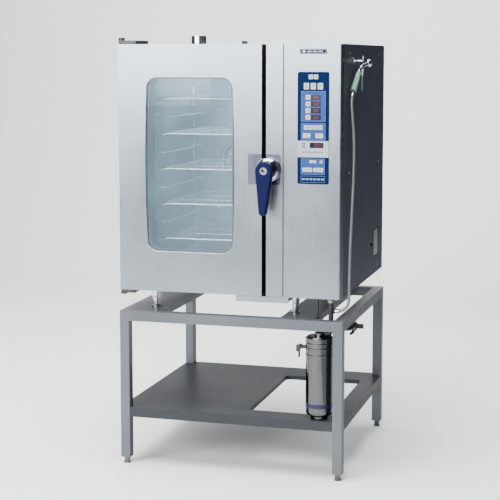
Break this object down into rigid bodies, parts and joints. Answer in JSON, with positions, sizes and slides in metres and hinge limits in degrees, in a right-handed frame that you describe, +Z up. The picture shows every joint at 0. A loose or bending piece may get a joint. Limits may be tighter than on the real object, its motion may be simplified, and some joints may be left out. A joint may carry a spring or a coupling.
{
  "type": "combi steamer oven",
  "caption": "Combi steamer oven on an open stand: hinged glass door with turning handle, wire shelves, fan, keypad, spray hose and water filter.",
  "frame": {"origin": "on the floor under the middle of the whole, from the stand's left side to the spray head and from the lever's front to the drain outlet's end", "axes": "+Z up, +X to the user's right, +Y from the door to the back"},
  "size_m": [0.9568, 0.973, 1.726],
  "materials": {
    "stainless": "fine brushed",
    "bright_steel": "smooth",
    "chrome": "polished",
    "slate_steel": "fine brushed, in shade",
    "dark_steel": "satin",
    "navy_print": "satin print",
    "display_black": "gloss",
    "clear_glass": "clear",
    "black_rubber": "matte",
    "navy_plastic": "gloss",
    "mineral_wool": "matte wool",
    "motor_alloy": "cast",
    "heater_steel": "oxidised",
    "gun_alloy": "satin",
    "hose_braid": "braided sleeve",
    "red_vinyl": "dipped",
    "key_white": "satin"
  },
  "bodies": {
    "oven": {"stand_legs": "stainless", "stand_top_frame": "stainless", "stand_undershelf": "stainless", "base_pan": "stainless", "left_panel": "stainless", "rear_panel": "stainless", "top_panel": "stainless", "front_frame": "stainless", "latch_strip": "stainless", "control_fascia": "stainless", "fan_baffle": "stainless", "cavity_liner": "stainless", "steam_generator": "stainless", "levelling_feet": "bright_steel", "oven_feet": "bright_steel", "rack_rails": "bright_steel", "rack_uprights": "bright_steel", "cover_screws": "bright_steel", "vent_pipe": "bright_steel", "strike_plate": "bright_steel", "gun_bracket": "bright_steel", "filter_canister": "chrome", "filter_head": "chrome", "side_frame": "slate_steel", "side_cover": "slate_steel", "hinge_brackets": "dark_steel", "blank_plates": "navy_print", "control_overlay": "navy_print", "display_windows": "display_black", "door_gasket": "black_rubber", "cavity_insulation": "mineral_wool", "fan_motor": "motor_alloy", "heating_element": "heater_steel", "spray_gun": "gun_alloy", "spray_hose": "hose_braid", "pipework": "dark_steel"},
    "door": {"door_skin": "stainless", "door_inner_frame": "stainless", "outer_glass": "clear_glass", "inner_glass": "clear_glass", "latch_base": "bright_steel", "escutcheon": "chrome"},
    "handle": {"lever": "navy_plastic"},
    "fan": {"fan_wheel": "stainless"},
    "tray": {"drip_tray": "stainless"},
    "trigger": {"gun_trigger": "chrome"},
    "tap": {"tap_lever": "dark_steel"},
    "valve": {"valve_handle": "red_vinyl"},
    "wire_shelf_1": {"wire_shelf_1": "bright_steel"},
    "wire_shelf_2": {"wire_shelf_2": "bright_steel"},
    "wire_shelf_3": {"wire_shelf_3": "bright_steel"},
    "wire_shelf_4": {"wire_shelf_4": "bright_steel"},
    "wire_shelf_5": {"wire_shelf_5": "bright_steel"},
    "power_key_left": {"power_key_left": "key_white"},
    "power_key_right": {"power_key_right": "key_white"},
    "arrow_key_1": {"arrow_key_1": "key_white"},
    "arrow_key_2": {"arrow_key_2": "key_white"},
    "arrow_key_3": {"arrow_key_3": "key_white"},
    "arrow_key_4": {"arrow_key_4": "key_white"},
    "start_key": {"start_key": "key_white"},
    "stop_key": {"stop_key": "key_white"}
  },
  "joints": [
    {"name": "door_hinge", "type": "hinge", "parent": "oven", "child": "door", "pos_m": [-0.4645, -0.3885, 1.199], "axis": [0, 0, -1], "range_deg": [0, 120]},
    {"name": "handle_turn", "type": "hinge", "parent": "door", "child": "handle", "pos_m": [0.1395, -0.4485, 1.206], "axis": [0, -1, 0], "range_deg": [0, 90]},
    {"name": "fan_spin", "type": "hinge", "parent": "oven", "child": "fan", "pos_m": [-0.1675, 0.2915, 1.194], "axis": [0, 1, 0], "continuous": true},
    {"name": "tray_slide", "type": "slide", "parent": "oven", "child": "tray", "axis": [0, -1, 0], "range_m": [0, 0.09]},
    {"name": "trigger_squeeze", "type": "hinge", "parent": "oven", "child": "trigger", "pos_m": [0.4535, -0.1685, 1.585], "axis": [-1, 0, 0], "range_deg": [0, 15], "stiffness_Nm_per_rad": 0.6, "springref_deg": -5.73},
    {"name": "tap_turn", "type": "hinge", "parent": "oven", "child": "tap", "pos_m": [0.2535, -0.3685, 0.514], "axis": [0, 1, 0], "range_deg": [0, 90]},
    {"name": "valve_turn", "type": "hinge", "parent": "oven", "child": "valve", "pos_m": [0.4135, -0.1085, 0.539], "axis": [0, 0, 1], "range_deg": [0, 90]},
    {"name": "wire_shelf_1_slide", "type": "slide", "parent": "oven", "child": "wire_shelf_1", "axis": [0, -1, 0], "range_m": [0, 0.018]},
    {"name": "wire_shelf_2_slide", "type": "slide", "parent": "oven", "child": "wire_shelf_2", "axis": [0, -1, 0], "range_m": [0, 0.018]},
    {"name": "wire_shelf_3_slide", "type": "slide", "parent": "oven", "child": "wire_shelf_3", "axis": [0, -1, 0], "range_m": [0, 0.018]},
    {"name": "wire_shelf_4_slide", "type": "slide", "parent": "oven", "child": "wire_shelf_4", "axis": [0, -1, 0], "range_m": [0, 0.018]},
    {"name": "wire_shelf_5_slide", "type": "slide", "parent": "oven", "child": "wire_shelf_5", "axis": [0, -1, 0], "range_m": [0, 0.018]},
    {"name": "power_key_left_press", "type": "slide", "parent": "oven", "child": "power_key_left", "axis": [0, 1, 0], "range_m": [0, 0.0008], "stiffness_N_per_m": 400, "springref_m": -0.0006},
    {"name": "power_key_right_press", "type": "slide", "parent": "oven", "child": "power_key_right", "axis": [0, 1, 0], "range_m": [0, 0.0008], "stiffness_N_per_m": 400, "springref_m": -0.0006},
    {"name": "arrow_key_1_press", "type": "slide", "parent": "oven", "child": "arrow_key_1", "axis": [0, 1, 0], "range_m": [0, 0.0008], "stiffness_N_per_m": 400, "springref_m": -0.0006},
    {"name": "arrow_key_2_press", "type": "slide", "parent": "oven", "child": "arrow_key_2", "axis": [0, 1, 0], "range_m": [0, 0.0008], "stiffness_N_per_m": 400, "springref_m": -0.0006},
    {"name": "arrow_key_3_press", "type": "slide", "parent": "oven", "child": "arrow_key_3", "axis": [0, 1, 0], "range_m": [0, 0.0008], "stiffness_N_per_m": 400, "springref_m": -0.0006},
    {"name": "arrow_key_4_press", "type": "slide", "parent": "oven", "child": "arrow_key_4", "axis": [0, 1, 0], "range_m": [0, 0.0008], "stiffness_N_per_m": 400, "springref_m": -0.0006},
    {"name": "start_key_press", "type": "slide", "parent": "oven", "child": "start_key", "axis": [0, 1, 0], "range_m": [0, 0.0008], "stiffness_N_per_m": 400, "springref_m": -0.0006},
    {"name": "stop_key_press", "type": "slide", "parent": "oven", "child": "stop_key", "axis": [0, 1, 0], "range_m": [0, 0.0008], "stiffness_N_per_m": 400, "springref_m": -0.0006}
  ]
}
